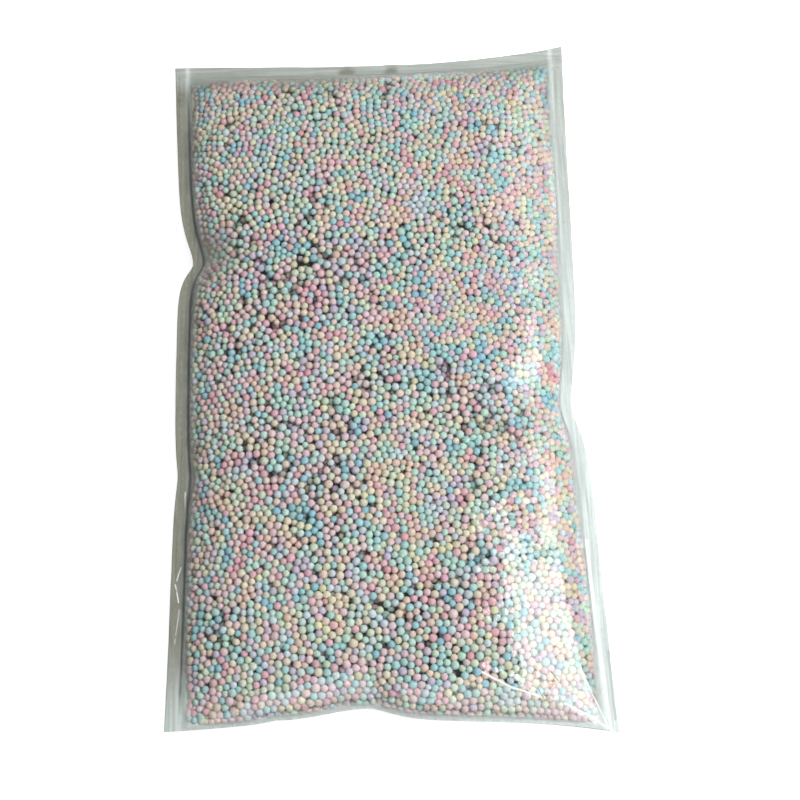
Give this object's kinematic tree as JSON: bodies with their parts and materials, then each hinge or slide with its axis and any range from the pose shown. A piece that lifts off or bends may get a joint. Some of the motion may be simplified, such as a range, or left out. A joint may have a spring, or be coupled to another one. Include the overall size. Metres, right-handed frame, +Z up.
{
  "type": "bag of polystyrene beads",
  "caption": "Clear heat-sealed film bag, packed full with loose pastel-coloured polystyrene foam beads, lying flat.",
  "frame": {"origin": "middle of the underside that the bag lies on", "axes": "+X across the bag, +Y along it towards the heat-sealed end, +Z up out of the upper face"},
  "size_m": [0.1607, 0.2921, 0.0281],
  "materials": {
    "clear_film": "clear glossy polypropylene film",
    "foam_beads": "matte expanded polystyrene in mixed pastel colours"
  },
  "bodies": {
    "root": {"film_bag": "clear_film", "bead_fill": "foam_beads"}
  },
  "joints": []
}
